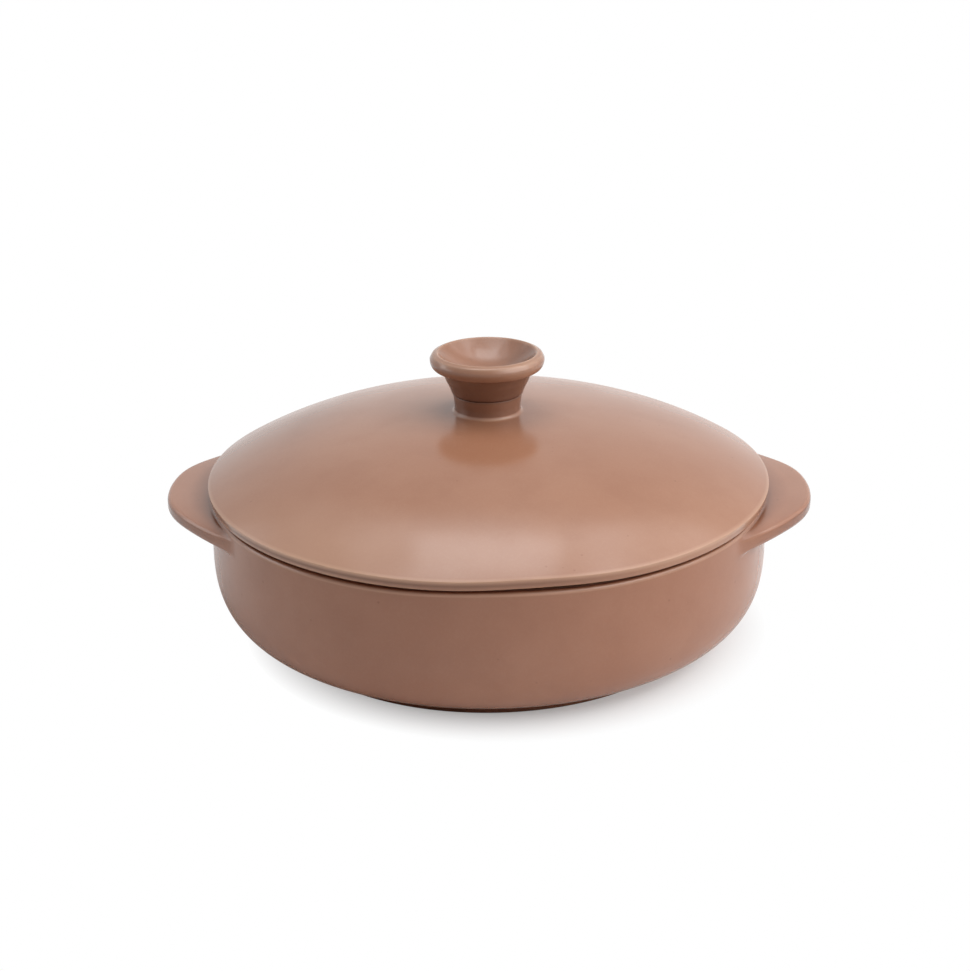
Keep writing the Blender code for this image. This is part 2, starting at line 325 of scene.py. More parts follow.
dish = dict(
    height=dishHigh[2],
    rimRadius=130.0 * mm,
    wall=8.0 * mm,
    swell=1.0 * mm,
    swellHeight=45.0 * mm,
    curveReach=36.0 * mm,
    curvePower=2.55,
    rimOuterRound=1.6 * mm,
    rimInnerRound=1.6 * mm,
    floorTop=10.5 * mm,
    footRadius=100.0 * mm,
    footWidth=6.0 * mm,
    footHeight=6.6 * mm,
    footRecess=3.0 * mm,
    footRound=0.9 * mm,
    footLead=1.4 * mm,        # the wall's curve ends this far outside the foot
    footFillet=1.2 * mm,
    footFilletDrop=0.25 * mm,
    recessLean=0.4 * mm,
    recessRound=1.0 * mm,
    recessStep=6.0 * mm,      # the longest step between two points there
    tabTip=dishHigh[0],
    tabSpan=math.radians(31.0),   # half of the angle that a tab takes up round the rim
    tabTipShare=0.275,            # the part of it that is the flat tip
    tabCorner=9.0,                # more sharpens the corner between the tip and the sloping side
    tabEase=0.13,                 # more runs the side into the rim more softly
    tabDrop=1.9 * mm,
    tabThickness=6.9 * mm,
    tabRootDepth=12.0 * mm,
    tabTopRound=2.0 * mm,
    tabLowRound=2.6 * mm,
    tabUnderRound=4.4 * mm,   # the hollow between a tab's underside and the wall
    tabRoundReach=1.1,        # a nose starts this many of its rounds before the tip
    tabRimRound=0.35 * mm,
    tabNoseRise=0.02 * mm,
    tabRootLean=0.4 * mm,
    bandPoints=72,
    bandParts=(0.26, 0.46, 0.28),    # the share of the points on a tab's top, nose and underside
    bandStops=(0.0, 0.16, 0.74, 1.0),    # and where those start and end down the plain wall
    bandStep=2.0 * mm,
    steps=320,
    rimSag=0.80 * mm,         # the rim dips by this all round, but for one high stretch right of the front
    rimRise=1.1 * mm,
    highPlace=math.radians(-86.3),
    highWidth=math.radians(15.0),
    sagSpan=(52.0 * mm, 68.0 * mm),
    unevenAmount=0.10 * mm,
    unevenSeed=0.7,
    unevenSpan=(8.0 * mm, 20.0 * mm),    # the wobble grows up from the foot, and fades out below the rim
    unevenFade=6.0 * mm,
    outerThinAndLit=0.60,           # thin glaze: the rim's outer and inner edge and a tab's nose, with a painted highlight on the outer edge; painted light on a tab's top
    outerThinAndLitRows=(-2, 4.0),  # rows after the head's end, and the width in rows
    innerThin=0.20,
    innerThinRows=(-18, 3.0),
    noseThin=0.06,
    noseThinWidth=3.5,
    noseShare=0.30,           # the share of the band's rows down to a tab's nose, and down to its side
    sideShare=0.35,
    tabTopLight=0.12,
    thinFade=3,               # the power with which the outer edge's thin glaze and painted highlight go towards a tab
    # painted shade on a tab's sides, beside the lid, above the foot and on the rim under the lid
    sideShade=0.62,
    besideLidShade=0.50,        # painted shade beside the lid, where a tab leaves the rim
    besideShare=0.15,
    besideFull=0.6,
    footShade=0.5,
    footShadeSpan=(4.2 * mm, 2.2 * mm),
    footBareSpan=(0.45 * mm, 0.15 * mm),
    recessBareTop=2.8 * mm,   # under this and this far inside the foot the clay is bare
    recessBareInset=3.0 * mm,
    landInset=4.2 * mm,       # the lid's bare land on the rim
    landDepth=0.15 * mm,
    landBare=0.8,
    rimDepth=2.5 * mm,        # the rim's top outside the land, where painted shade lies under the lid
    rimRows=4,
    underLidSpan=(0.7 * mm, 2.3 * mm),
    shade=(0.95, 0.87, 0.85),
)


def wallRadius(d, height):
    # rim radius + swell * sin of a quarter turn between the rim's shoulder and the widest height
    shoulder = d["height"] - d["rimOuterRound"]
    down = (shoulder - height) / (shoulder - d["swellHeight"])
    return d["rimRadius"] + d["swell"] * np.sin(math.pi / 2 * down)


def tabShare(d, turn):
    # 1 over the tip, then an even slope t down to 0 at the span. t / (1 + t^corner)^(1 / corner) rounds the
    # corner between the two, and t^2 / (t + ease) runs the slope softly into the rim
    def outline(away):
        slope = (1 - away).clip(1e-9) / (1 - d["tabTipShare"])
        return slope / (1 + slope ** d["tabCorner"]) ** (1 / d["tabCorner"])

    reach = outline(np.abs(np.arcsin(np.sin(turn))) / d["tabSpan"]) / outline(np.zeros(1))
    return reach * reach / (reach + d["tabEase"]) * (1 + d["tabEase"])


def tabBands(d):
    # the band under the rim twice, point for point: plain wall, and drawn out to a full tab
    shoulder = d["height"] - d["rimOuterRound"]
    root = d["height"] - d["tabRootDepth"]
    top = d["height"] - d["tabDrop"]
    low = top - d["tabThickness"]
    tip, inner = d["tabTip"], d["rimRadius"]
    topEnd = tip - d["tabRoundReach"] * d["tabTopRound"]
    lowEnd = tip - d["tabRoundReach"] * d["tabLowRound"]
    wallFoot = float(wallRadius(d, root))
    paths = (
        [(inner, shoulder), (inner, top, d["tabRimRound"], 3), (topEnd, top)],
        [(topEnd, top), (tip, top, d["tabTopRound"], 12), (tip, low, d["tabLowRound"], 12),
         (lowEnd, low + d["tabNoseRise"])],
        [(lowEnd, low), (wallFoot + d["tabRootLean"], low, d["tabUnderRound"], 12), (wallFoot, root)],
    )
    counts = [int(d["bandPoints"] * part) for part in d["bandParts"]]
    full = [evenSteps(roundedPath(path, d["bandStep"]), count + 1)[:-1]
            for path, count in zip(paths, counts)]
    full = np.concatenate(full + [[(wallFoot, root)]])
    stops = d["bandStops"]
    share = [np.linspace(start, end, count, endpoint=False)
             for start, end, count in zip(stops[:-1], stops[1:], counts)]
    share = np.concatenate(share + [[1.0]])
    heights = shoulder + (root - shoulder) * share
    plain = np.stack([wallRadius(d, heights), heights], axis=1)
    return plain, full


def dishSection(d):
    # every row of the half section for every angle: (1 - share) * plain + share * tab, between a head
    # (floor, inside and rim) and a tail (wall, squared-off curve and foot) that are the same all round
    mouth = d["rimRadius"] - d["wall"]
    widest = d["rimRadius"] + d["swell"]
    centre = widest - d["curveReach"]
    shoulder = d["height"] - d["rimOuterRound"]
    innerShoulder = d["height"] - d["rimInnerRound"]
    inside = squareCurve(centre, d["swellHeight"], mouth - centre, d["swellHeight"] - d["floorTop"],
                         d["curvePower"], centre, 34)[::-1]
    head = np.concatenate([
        straight((0.0, d["floorTop"]), (centre, d["floorTop"]), 14),
        inside[:-1],
        straight((mouth, d["swellHeight"]), (mouth, innerShoulder), 6),
        arcPath((mouth + d["rimInnerRound"], innerShoulder), d["rimInnerRound"], 180, 90, 9),
        arcPath((d["rimRadius"] - d["rimOuterRound"], shoulder), d["rimOuterRound"], 90, 0, 11)[:-1]])
    plain, full = tabBands(d)
    curve = squareCurve(centre, d["swellHeight"], d["curveReach"], d["swellHeight"] - d["footHeight"],
                        d["curvePower"], d["footRadius"] + d["footLead"], 40)
    heights = np.linspace(plain[-1, 1], d["swellHeight"], 8, endpoint=False)[1:]
    innerFoot = d["footRadius"] - d["footWidth"]
    foot = roundedPath([
        tuple(curve[-1]),
        (d["footRadius"], curve[-1][1] - d["footFilletDrop"], d["footFillet"], 6),
        (d["footRadius"], 0.0, d["footRound"], 7),
        (innerFoot, 0.0, d["footRound"], 7),
        (innerFoot - d["recessLean"], d["footRecess"], d["recessRound"], 6),
        (0.0, d["footRecess"])], d["recessStep"])
    tail = np.concatenate([np.stack([wallRadius(d, heights), heights], axis=1), curve[:-1], foot])
    share = tabShare(d, anglesRound(d["steps"]))
    pull = share[None, :, None]
    band = plain[:, None, :] * (1 - pull) + full[:, None, :] * pull
    around = np.ones((1, d["steps"], 1))
    section = np.concatenate([head[:, None, :] * around, band, tail[:, None, :] * around])
    return section, share, len(head), len(plain)


def dishMarks(d, section, share, headCount, bandCount):
    # thin glaze over the rim's inner edge and the tabs' noses, thin glaze with a painted highlight over the
    # rim's outer edge, and painted light on the tabs' tops. Painted shade above the foot, under the lid, on
    # the tabs' sides and beside the lid. Bare clay on the foot, in its recess and on the lid's land. Rows
    # run down the section: the head up to the rim, the band with the tabs, then the wall and the foot
    radius, height = section[..., 0], section[..., 1]
    row = np.arange(len(radius))[:, None]
    bandEnd = headCount + bandCount
    noseRow = headCount + d["noseShare"] * bandCount
    onTab = share[None, :]

    def overRows(amount, rows):
        # a hill across the rows, at a place counted from the head's end and with a width
        return amount * bump(row, headCount + rows[0], rows[1])

    # the rim's outer edge: thin glaze with a painted highlight; the tabs' tops: painted light
    outerEdge = overRows(d["outerThinAndLit"], d["outerThinAndLitRows"]) * (1 - onTab) ** d["thinFade"]
    innerEdge = overRows(d["innerThin"], d["innerThinRows"])
    onTop = (row > headCount + 2) & (row < noseRow)
    nose = d["noseThin"] * bump(row, noseRow, d["noseThinWidth"])
    thinAndLit = outerEdge + innerEdge + onTab * (nose + np.where(onTop, d["tabTopLight"], 0.0))

    below = row > bandEnd
    # painted shade above the foot, on the rim under the lid, on the tabs' sides and beside the lid
    shadeAmount = np.where(below, d["footShade"] * ramp(height, *d["footShadeSpan"]), 0.0)
    bare = np.where(below, ramp(height, *d["footBareSpan"]), 0.0)
    inRecess = (height < d["recessBareTop"]) & (radius < d["footRadius"] - d["recessBareInset"])
    bare = np.maximum(bare, np.where(inRecess, 1.0, 0.0))
    landEdge = d["rimRadius"] - d["landInset"]
    onLand = (height > d["height"] - d["landDepth"]) & (radius < landEdge)
    bare = np.maximum(bare, np.where(onLand, d["landBare"], 0.0))
    onRim = (height > d["height"] - d["rimDepth"]) & (radius > landEdge) & (row < headCount + d["rimRows"])
    underLid = ramp(d["rimRadius"] - radius, *d["underLidSpan"])
    shadeAmount = np.maximum(shadeAmount, np.where(onRim, underLid, 0.0))
    onSide = (row > headCount + d["sideShare"] * bandCount) & (row <= bandEnd)
    shadeAmount = np.maximum(shadeAmount, np.where(onSide, d["sideShade"] * onTab, 0.0))
    besideLid = ramp(row, headCount + d["besideShare"] * bandCount, headCount) * (row >= headCount)
    shadeAmount = np.maximum(shadeAmount, d["besideLidShade"] * besideLid * ramp(onTab, 0.0, d["besideFull"]))
    return dict(thinGlazeAndLight=thinAndLit.clip(0.0, 1.0), paintedShade=shadeAmount, bareClay=bare)


section, share, headCount, bandCount = dishSection(dish)
turn = anglesRound(dish["steps"])[None, :]
offTab = 1 - share[None, :]
upright = ramp(section[..., 1], *dish["unevenSpan"])
fade = ramp(section[..., 1], dish["height"], dish["height"] - dish["unevenFade"])
wobble = unevenness(turn, section[..., 1], dish["unevenAmount"], dish["unevenSeed"])
section[..., 0] += wobble * upright * fade * offTab
marks = dishMarks(dish, section, share, headCount, bandCount)
nearRim = ramp(section[..., 1], *dish["sagSpan"]) * offTab
wave = highStretch(turn, dish["highPlace"], dish["highWidth"], dish["rimRise"]) - dish["rimSag"]
section[..., 1] += wave * nearRim
dishMesh = turnedMesh("dishBody", section, dish["steps"], marks)
dishGlaze = glazeMaterial("bronzeGlazeDish", glazeLook, dish["shade"])
addPiece("dishBody", dishMesh, dishGlaze, "dish", "dish")


# The lid: a dome with an upright edge, a flange underneath and a boss for the knob

lid = dict(
    radius=lidHigh[0],
    rimHeight=dishHigh[2],
    relief=1.5 * mm,
    edge=4.2 * mm,
    edgeDraft=0.7 * mm,
    edgeTopRound=0.5 * mm,
    edgeLowRound=0.6 * mm,
    rise=30.0 * mm,
    fullness=0.32,
    thickness=6.5 * mm,
    seatGap=0.3 * mm,
    flangeRadius=120.3 * mm,
    flangeDepth=6.0 * mm,
    flangeWidth=5.5 * mm,
    flangeTaper=1.0 * mm,
    bearing=6.0 * mm,
    bossRadius=15.4 * mm,
    bossFlare=0.8 * mm,
    bossFillet=1.7 * mm,
    seamRound=0.25 * mm,
    socketRadius=9.4 * mm,
    socketDepth=9.0 * mm,
    steps=320,
    edgeSag=0.35 * mm,        # the edge dips by this all round, but for one high stretch right of the front
    edgeRise=1.25 * mm,
    highPlace=math.radians(-80.3),
    highWidth=math.radians(13.5),
    lean=0.22 * mm,           # and it is this much higher at -X than in the middle
    edgePower=4,              # the dip and the lean grow towards the edge with this power of the radius
    socketFloorRound=0.5 * mm,
    socketTopRound=0.3 * mm,
    socketStep=1.5 * mm,      # the longest step between two points there
    waistShare=0.45,          # the boss's side bends at this share of its height
    waistOut=0.05 * mm,
    waistRound=14.0 * mm,
    domeStart=6.0 * mm,       # the plain dome runs from this far outside the boss
    domeEnd=3.0 * mm,         # to this far inside the edge
    seatSlope=1.2 * mm,
    seatRound=0.5 * mm,
    flangeRootRound=0.8 * mm,
    flangeTipRound=1.6 * mm,
    hollowRound=4.0 * mm,
    hollowLead=9.0 * mm,
    edgeStep=2.0 * mm,
    unevenAmount=0.05 * mm,
    unevenSeed=2.3,
    unevenLift=0.06 * mm,     # keeps the wobble over the plain dome
    unevenSpan=(30.0 * mm, 90.0 * mm),
    ovalAmount=0.10 * mm,     # the radius is up to twice this less, by 1 + sin(2 * turn + start)
    ovalStart=1.0,
    edgeThin=0.60,            # thin glaze on the edge's top: its line lies this far in from the corner
    edgeThinInset=0.3 * mm,
    edgeThinWidth=0.9 * mm,
    footThinAndLit=0.22,            # thin glaze with a painted highlight round the boss's foot, with more painted highlight at some places
    footLitPlaces=((290.0, 0.42, 0.55),),
    footThinRipple=0.10,
    footThinOut=0.7 * mm,
    footThinUp=0.6 * mm,
    footThinWidth=0.75 * mm,
    # painted light: paler patches of the outer dome towards the front left and front right
    outerLitPlaces=((236.0, 0.42, 0.34), (312.0, 0.30, 0.10)),
    outerLitSpan=(92.0 * mm, 120.0 * mm),
    edgeTopShare=0.35,        # the share of the edge's rows that are its upper side
    seatDepth=0.06 * mm,
    tipDepth=0.2 * mm,
    socketInset=0.2 * mm,
    bare=0.9,
    # painted shade: under the edge in the crevice, down the edge's side (less at the right front), on the
    # boss, at the seam and on the outer dome behind
    creviceSpan=(5.0 * mm, 1.6 * mm),    # outside the flange and inside the edge
    sideInset=0.6 * mm,
    sideDrop=1.2 * mm,
    sideShade=0.75,
    sidePaler=((312.0, 0.50, 0.75),),
    bossInset=1.0 * mm,
    bossRise=1.6 * mm,
    bossShade=0.42,
    seamShade=0.3,
    seamWidth=0.9 * mm,
    backShadePlaces=((165.0, 0.45, 0.35),),
    backShadeSpan=(60.0 * mm, 90.0 * mm),
    shade=(1.03, 1.02, 1.01),
)


def domeHeight(d, radius):
    # edge top + rise * (1 - s^2) * (1 + fullness * s^2), with s the share of the lid's radius
    s = radius / d["radius"]
    return d["rimHeight"] + d["relief"] + d["edge"] + d["rise"] * (1 - s * s) * (1 + d["fullness"] * s * s)


def lidSection(d):
    # the half section from the socket's floor over the boss, the dome and the edge, down round the seat and
    # the flange, and back to the axis under the dome: its underside is the dome less the thickness
    seam = lidHigh[2]
    boss = d["bossRadius"]
    foot = float(domeHeight(d, boss))
    socketFloor = seam - d["socketDepth"]
    domeStart = boss + d["domeStart"]
    socket = roundedPath([
        (0.0, socketFloor),
        (d["socketRadius"], socketFloor, d["socketFloorRound"], 4),
        (d["socketRadius"], seam, d["socketTopRound"], 4),
        (boss + d["bossFlare"], seam, d["seamRound"], 7),
        (boss + d["waistOut"], foot + (seam - foot) * d["waistShare"], d["waistRound"], 8),
        (boss, foot, d["bossFillet"], 10),
        (domeStart, float(domeHeight(d, domeStart)))], d["socketStep"])
    edgeFoot = d["rimHeight"] + d["relief"]
    edgeTop = edgeFoot + d["edge"]
    shoulder = d["radius"] - d["domeEnd"]
    domeRadius = np.linspace(socket[-1, 0], shoulder, 62)[1:-1]
    dome = np.stack([domeRadius, domeHeight(d, domeRadius)], axis=1)
    seat = d["rimHeight"] + d["seatGap"]
    flangeFoot = seat - d["flangeDepth"]
    bearing = d["flangeRadius"] + d["bearing"]
    hollow = d["flangeRadius"] - d["flangeWidth"]
    hollowSide = hollow - d["flangeTaper"]
    hollowEnd = hollow - d["hollowLead"]
    edge = roundedPath([
        (shoulder, float(domeHeight(d, shoulder))),
        (d["radius"], edgeTop, d["edgeTopRound"], 9),
        (d["radius"] - d["edgeDraft"], edgeFoot, d["edgeLowRound"], 9),
        (bearing + d["seatSlope"], edgeFoot, d["seatRound"], 4),
        (bearing, seat, d["seatRound"], 4),
        (d["flangeRadius"], seat, d["flangeRootRound"], 5),
        (d["flangeRadius"] - d["flangeTaper"], flangeFoot, d["flangeTipRound"], 7),
        (hollow, flangeFoot, d["flangeTipRound"], 7),
        (hollowSide, float(domeHeight(d, hollowSide)) - d["thickness"], d["hollowRound"], 8),
        (hollowEnd, float(domeHeight(d, hollowEnd)) - d["thickness"])], d["edgeStep"])
    underRadius = np.linspace(edge[-1, 0], 0.0, 34)[1:]
    under = np.stack([underRadius, domeHeight(d, underRadius) - d["thickness"]], axis=1)
    half = np.concatenate([socket, dome, edge, under])
    return half, len(socket), len(dome), len(edge)


def lidMarks(d, half, turn, socketCount, domeCount, edgeCount):
    # thin glaze over the edge's top, thin glaze with painted highlights in patches round the boss's foot,
    # and painted light in paler patches of the outer dome towards the front. Painted shade under the edge,
    # on the boss, at the seam, down the edge's side (less at the right front) and on the outer dome behind.
    # Bare clay on the seat, the flange's tip and in the socket
    radius, height = half[:, 0], half[:, 1]
    row = np.arange(len(radius))
    topside = row < socketCount + domeCount + edgeCount * d["edgeTopShare"]
    edgeTop = domeHeight(d, d["radius"])
    fromEdge = np.hypot(radius - (d["radius"] - d["edgeThinInset"]), height - (edgeTop - d["edgeThinInset"]))
    thinAndLit = np.where(topside, d["edgeThin"] * bump(fromEdge, 0.0, d["edgeThinWidth"]), 0.0)
    foot = float(domeHeight(d, d["bossRadius"]))
    # thin glaze with painted highlights round the boss's foot
    fromFoot = np.hypot(radius - (d["bossRadius"] + d["footThinOut"]), height - (foot + d["footThinUp"]))
    ring = np.where(topside, bump(fromFoot, 0.0, d["footThinWidth"]), 0.0)
    ripple = d["footThinRipple"] * np.sin(5 * turn) * np.cos(3 * turn + 1.0)
    patchy = d["footThinAndLit"] + hills(turn, d["footLitPlaces"]) + ripple
    # painted light in paler patches of the outer dome towards the front
    outer = topside * ramp(radius, *d["outerLitSpan"])
    thinAndLit = thinAndLit[:, None] + ring[:, None] * patchy + outer[:, None] * hills(turn, d["outerLitPlaces"])

    seat = d["rimHeight"] + d["seatGap"]
    onSeat = (np.abs(height - seat) < d["seatDepth"]) & ~topside
    onTip = (height < seat - d["flangeDepth"] + d["tipDepth"]) & ~topside
    inSocket = (radius < d["socketRadius"] + d["socketInset"]) & (row < socketCount)
    bare = np.where(onSeat | onTip | inSocket, d["bare"], 0.0)

    # painted shade under the edge, on the boss, at the seam, down the edge's side and on the outer dome
    # behind
    creviceIn, creviceOut = d["flangeRadius"] + d["creviceSpan"][0], d["radius"] - d["creviceSpan"][1]
    inCrevice = ~topside & (radius > creviceIn) & (radius < creviceOut) & ~onSeat
    onSide = topside & (radius > d["radius"] - d["sideInset"]) & (height < edgeTop - d["sideDrop"])
    onBoss = (row < socketCount) & (radius > d["socketRadius"] + d["bossInset"])
    onBoss = onBoss & (height > foot + d["bossRise"])
    nearSeam = np.where(onBoss, d["seamShade"] * bump(height, lidHigh[2], d["seamWidth"]), 0.0)
    shadeAmount = np.where(inCrevice, 1.0, 0.0) + np.where(onBoss, d["bossShade"], 0.0) + nearSeam
    shadeAmount = shadeAmount[:, None] + onSide[:, None] * (d["sideShade"] - hills(turn, d["sidePaler"]))
    behind = topside * ramp(radius, *d["backShadeSpan"])
    shadeAmount = np.maximum(shadeAmount, behind[:, None] * hills(turn, d["backShadePlaces"]))
    return dict(thinGlazeAndLight=thinAndLit.clip(0.0, 1.0), paintedShade=shadeAmount, bareClay=bare)


half, socketCount, domeCount, edgeCount = lidSection(lid)
turn = anglesRound(lid["steps"])[None, :]
section = np.repeat(half[:, None, :], lid["steps"], axis=1)
outer = ramp(section[..., 0], *lid["unevenSpan"])
wobble = unevenness(turn, section[..., 0], lid["unevenAmount"], lid["unevenSeed"])
section[..., 1] += wobble * outer + lid["unevenLift"] * outer
nearEdge = ramp(section[..., 0], 0.0, lid["radius"]) ** lid["edgePower"]
wave = highStretch(turn, lid["highPlace"], lid["highWidth"], lid["edgeRise"]) - lid["edgeSag"]
section[..., 1] += (wave - lid["lean"] * np.cos(turn)) * nearEdge
section[..., 0] -= lid["ovalAmount"] * outer * (1 + np.sin(2 * turn + lid["ovalStart"]))
marks = lidMarks(lid, half, turn, socketCount, domeCount, edgeCount)
lidMesh = turnedMesh("lidShell", section, lid["steps"], marks)
lidGlaze = glazeMaterial("bronzeGlazeLid", glazeLook, lid["shade"])
addPiece("lidShell", lidMesh, lidGlaze, "lid", "lid")


# The knob: spigot, flared neck, and a head with a thick lip round a dished top

knob = dict(
    top=knobHigh[2],
    bottom=knobLow[2],
    seam=lidHigh[2],
    seatGap=0.3 * mm,
    seamRadius=16.6 * mm,
    seamRound=0.6 * mm,
    spigotRadius=9.0 * mm,
    headRadius=knobHigh[0],
    hollowRadius=23.3 * mm,
    hollowDepth=10.8 * mm,
    landRadius=25.6 * mm,     # the lip's flat runs from the hollow's edge to here
    landDrop=0.9 * mm,
    lipHeight=7.7 * mm,
    lipReach=3.1 * mm,        # from the lip's underside out to its widest ring
    lipBelly=4.1 * mm,        # and down from the widest ring to the underside
    neckTop=13.4 * mm,        # from the head's top down to where the neck starts to spread
    neckRadius=19.3 * mm,
    neckShade=12.0 * mm,      # outside this radius the neck carries painted shade under the head
    neckCurve=(1.85, 0.78),   # how the neck spreads: this much of it evenly, this much with the square
    hollowInset=1.2 * mm,
    hollowPower=2.1,
    hollowRound=0.7 * mm,
    landRound=1.5 * mm,
    crownDrop=0.6 * mm,
    crownStep=0.8 * mm,
    underIn=2.4 * mm,         # the curve under the head starts inwards by this, and ends downwards by it
    underOut=1.0 * mm,
    spigotTopRound=0.3 * mm,
    spigotLowRound=0.8 * mm,
    baseStep=2.0 * mm,
    ovalAmount=0.05 * mm,     # the radius is up to twice this less, by 1 + sin(2 * turn + start)
    ovalStart=0.4,
    ovalSpan=(2.0 * mm, 10.0 * mm),    # above the seam
    edgeThin=0.60,            # thin glaze: the hollow's edge and the head's shoulder; painted light on the head's right front
    edgeThinWidth=0.8 * mm,
    landThin=0.45,
    landThinWidth=1.0 * mm,
    headLitPlaces=((315.0, 0.45, 0.30),),
    # painted shade: on the neck under the head, at the seam and down the hollow's right side
    neckDrop=0.5 * mm,
    neckShadeAmount=0.58,
    seamShade=0.3,
    seamWidth=0.9 * mm,
    hollowShade=0.40,        # painted shade down the hollow's right side
    hollowShadeWidth=0.35,
    hollowShadeReach=14.0 * mm,
    spigotBare=0.9,
    spigotBareInset=0.2 * mm,
    spigotBareRise=1.0 * mm,
    steps=256,
    shade=(0.88, 0.87, 0.86),
)


def bezier(a, b, c, e, count):
    # (1-t)^3 a + 3 (1-t)^2 t b + 3 (1-t) t^2 c + t^3 e
    t = np.linspace(0.0, 1.0, count)[:, None]
    a, b, c, e = (np.asarray(p, float) for p in (a, b, c, e))
    return (1 - t) ** 3 * a + 3 * (1 - t) ** 2 * t * b + 3 * (1 - t) * t * t * c + t ** 3 * e


def knobSection(d):
    # the half section from the hollow's floor over the lip and down the neck to the spigot's end
    edge = (d["hollowRadius"], d["top"])
    floor = d["top"] - d["hollowDepth"]
    # dished top: floor + depth * (r / hollow radius)^power
    r = np.linspace(0.0, d["hollowRadius"] - d["hollowInset"], 34)
    rise = d["hollowDepth"] * (r / d["hollowRadius"]) ** d["hollowPower"]
    hollow = np.stack([r, floor + rise], axis=1)
    widest = d["top"] - d["lipHeight"] + d["lipBelly"]
    land = (d["landRadius"], d["top"] - d["landDrop"])
    crown = roundedPath([tuple(hollow[-1]), (*edge, d["hollowRound"], 7), (*land, d["landRound"], 9),
                         (d["headRadius"], widest + d["crownDrop"])], d["crownStep"])[1:]
    # the lip's lower half is a quarter of an ellipse
    turn = np.radians(np.linspace(0.0, 90.0, 18))
    inner = d["headRadius"] - d["lipReach"]
    belly = np.stack([inner + d["lipReach"] * np.cos(turn), widest - d["lipBelly"] * np.sin(turn)], axis=1)
    # a hollow curve from the lip's underside down to the neck
    neckTop = d["top"] - d["neckTop"]
    neckStart = (d["neckRadius"], neckTop)
    aboveNeck = (d["neckRadius"] + d["underOut"], neckTop + d["underIn"])
    under = bezier(belly[-1], belly[-1] - (d["underIn"], 0.0), aboveNeck, neckStart, 16)[1:]
    # the neck: foot radius + spread * (even * u + square * u^2), with u from 0 at the foot to 1 at the top
    # and the spread such that u = 1 gives the neck's radius
    foot = d["seam"] + d["seatGap"]
    u = np.linspace(1.0, 0.0, 16)[1:]
    even, square = d["neckCurve"]
    spread = (d["neckRadius"] - d["seamRadius"]) / (even + square)
    neckOut = d["seamRadius"] + spread * (even * u + square * u * u)
    neck = np.stack([neckOut, foot + (neckTop - foot) * u], axis=1)
    base = roundedPath([
        tuple(neck[-3]),
        (d["seamRadius"], foot, d["seamRound"], 7),
        (d["spigotRadius"], foot, d["spigotTopRound"], 4),
        (d["spigotRadius"], d["bottom"], d["spigotLowRound"], 5),
        (0.0, d["bottom"])], d["baseStep"])
    return np.concatenate([hollow, crown, belly, under, neck[:-3], base]), len(hollow)


def knobMarks(d, half, turn, hollowCount):
    # thin glaze over the hollow's edge and the head's shoulder, and painted light on the head's right front.
    # Painted shade on the neck, at the seam and down the hollow's right side. Bare clay on the spigot
    radius, height = half[:, 0], half[:, 1]
    row = np.arange(len(half))
    lipFoot = d["top"] - d["lipHeight"]
    edge = np.hypot(radius - d["hollowRadius"], height - d["top"])
    land = np.hypot(radius - d["landRadius"], height - d["top"] + d["landDrop"])
    overEdge = d["edgeThin"] * bump(edge, 0.0, d["edgeThinWidth"])
    thinAndLit = overEdge + d["landThin"] * bump(land, 0.0, d["landThinWidth"])
    onHead = (row >= hollowCount) & (height > lipFoot)
    # painted light on the head's right front
    thinAndLit = thinAndLit[:, None] + onHead[:, None] * hills(turn, d["headLitPlaces"])
    seam = np.hypot(radius - d["seamRadius"], height - d["seam"] - d["seatGap"])
    # painted shade on the neck, at the seam and down the hollow's right side
    onNeck = (height > d["seam"]) & (height < lipFoot - d["neckDrop"]) & (radius > d["neckShade"])
    shadeAmount = np.where(onNeck, d["neckShadeAmount"], 0.0) + d["seamShade"] * bump(seam, 0.0, d["seamWidth"])
    inHollow = (row < hollowCount) * ramp(radius, 0.0, d["hollowShadeReach"]) ** 2
    rightSide = d["hollowShade"] * bump(np.cos(turn), 1.0, d["hollowShadeWidth"])
    shadeAmount = shadeAmount[:, None] + inHollow[:, None] * rightSide
    onSpigot = radius < d["spigotRadius"] + d["spigotBareInset"]
    bare = np.where(onSpigot & (height < d["seam"] + d["spigotBareRise"]), d["spigotBare"], 0.0)
    return dict(thinGlazeAndLight=thinAndLit.clip(0.0, 1.0), paintedShade=shadeAmount, bareClay=bare)


half, hollowCount = knobSection(knob)
turn = anglesRound(knob["steps"])[None, :]
section = np.repeat(half[:, None, :], knob["steps"], axis=1)
above = ramp(section[..., 1] - knob["seam"], *knob["ovalSpan"])
oval = knob["ovalAmount"] * above * (1 + np.sin(2 * turn + knob["ovalStart"]))
section[..., 0] -= oval * (section[..., 0] > 0)
marks = knobMarks(knob, half, turn, hollowCount)
knobMesh = turnedMesh("knobTurned", section, knob["steps"], marks)
knobGlaze = glazeMaterial("bronzeGlazeKnob", glazeLook, knob["shade"])
addPiece("knobTurned", knobMesh, knobGlaze, "lid", "knob")


# Floor, light and camera

